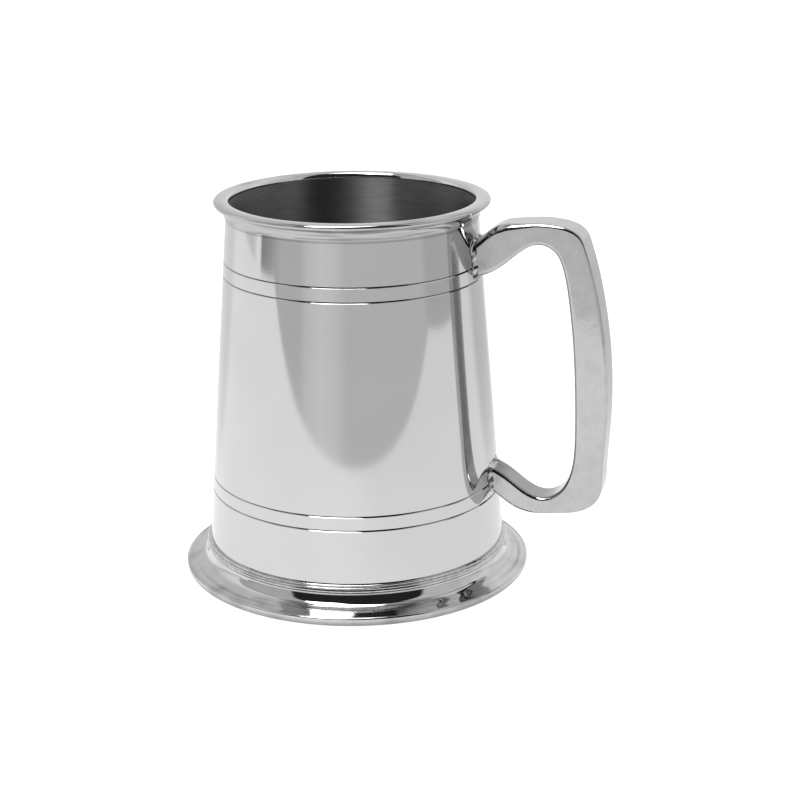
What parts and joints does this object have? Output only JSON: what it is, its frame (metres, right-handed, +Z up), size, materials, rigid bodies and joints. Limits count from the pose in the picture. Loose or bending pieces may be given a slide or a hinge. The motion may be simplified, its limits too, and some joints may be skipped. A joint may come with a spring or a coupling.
{
  "type": "pewter tankard",
  "caption": "Straight-tapered pewter drinking tankard with a moulded rim, incised lines, a flared foot and a cranked side handle; no lid.",
  "frame": {"origin": "on the barrel's axis, on the plane the foot stands on", "axes": "+Z up along the barrel's axis, +X from the axis out towards the handle, +Y square to both"},
  "size_m": [0.134, 0.1082, 0.118],
  "materials": {
    "polished_pewter": "mirror-polished pewter outside, brushed inside the well",
    "brushed_pewter": "turned and brushed pewter",
    "cast_pewter": "cast pewter, linished and polished",
    "solder": "bright soft solder, slightly lumpy"
  },
  "bodies": {
    "root": {"barrel_wall": "polished_pewter", "rim_band": "polished_pewter", "rim_bead": "polished_pewter", "floor_disc": "brushed_pewter", "floor_solder_ring": "solder", "foot_solder_ring": "solder", "foot_skirt": "polished_pewter", "foot_rim_wire": "polished_pewter", "handle": "cast_pewter", "upper_handle_solder": "solder", "lower_handle_solder": "solder"}
  },
  "joints": []
}
